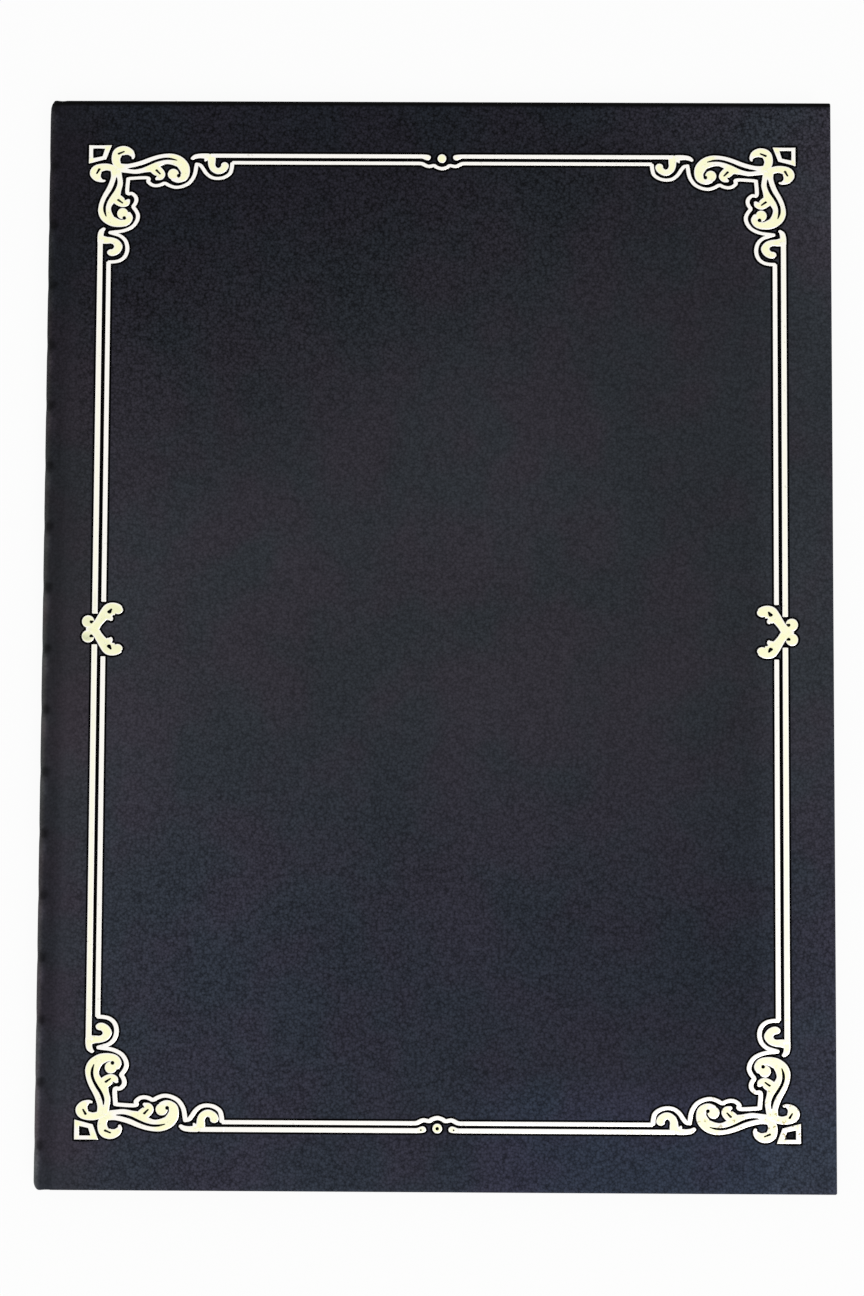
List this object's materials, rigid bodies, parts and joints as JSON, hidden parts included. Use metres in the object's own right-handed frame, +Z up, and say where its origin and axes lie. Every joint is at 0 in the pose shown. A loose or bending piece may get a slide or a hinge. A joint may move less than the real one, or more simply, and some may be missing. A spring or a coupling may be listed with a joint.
{
  "type": "certificate holder",
  "caption": "Book-style certificate holder: leatherette-wrapped boards on a soft folding spine, with a stamped foil scroll border and corner ribbons inside.",
  "frame": {"origin": "middle of the closed holder's footprint, on the surface that it lies on", "axes": "+Z up from the back cover to the front cover, +Y to the head, +X from the spine to the fore edge"},
  "size_m": [0.225, 0.31, 0.0066],
  "materials": {
    "leatherette": "fine matte grain, dark charcoal navy",
    "board": "plain grey board",
    "lining": "ivory moire paper on card",
    "ribbon": "ivory satin",
    "foil": "pale gold stamping foil"
  },
  "bodies": {
    "back_cover": {"back_board": "board", "back_wrap": "leatherette", "back_liner": "leatherette", "back_lining": "lining", "ribbon_head_left": "ribbon", "ribbon_head_right": "ribbon", "ribbon_tail_left": "ribbon", "ribbon_tail_right": "ribbon"},
    "spine": {"spine_wrap": "leatherette", "spine_liner": "leatherette"},
    "front_cover": {"front_board": "board", "front_wrap": "leatherette", "front_liner": "leatherette", "front_lining": "lining", "foil_corner_head_left": "foil", "foil_corner_head_right": "foil", "foil_corner_tail_left": "foil", "foil_corner_tail_right": "foil", "foil_rule_head": "foil", "foil_rule_tail": "foil", "foil_rule_left": "foil", "foil_rule_right": "foil", "foil_knot_left": "foil", "foil_knot_right": "foil", "foil_dot_head": "foil", "foil_dot_tail": "foil"}
  },
  "joints": [
    {"name": "back_fold", "type": "hinge", "parent": "back_cover", "child": "spine", "pos_m": [-0.11186, 0, 0.00064], "axis": [0, -1, 0], "range_deg": [0, 90]},
    {"name": "front_fold", "type": "hinge", "parent": "spine", "child": "front_cover", "pos_m": [-0.11186, 0, 0.00586], "axis": [0, -1, 0], "range_deg": [0, 90]}
  ]
}
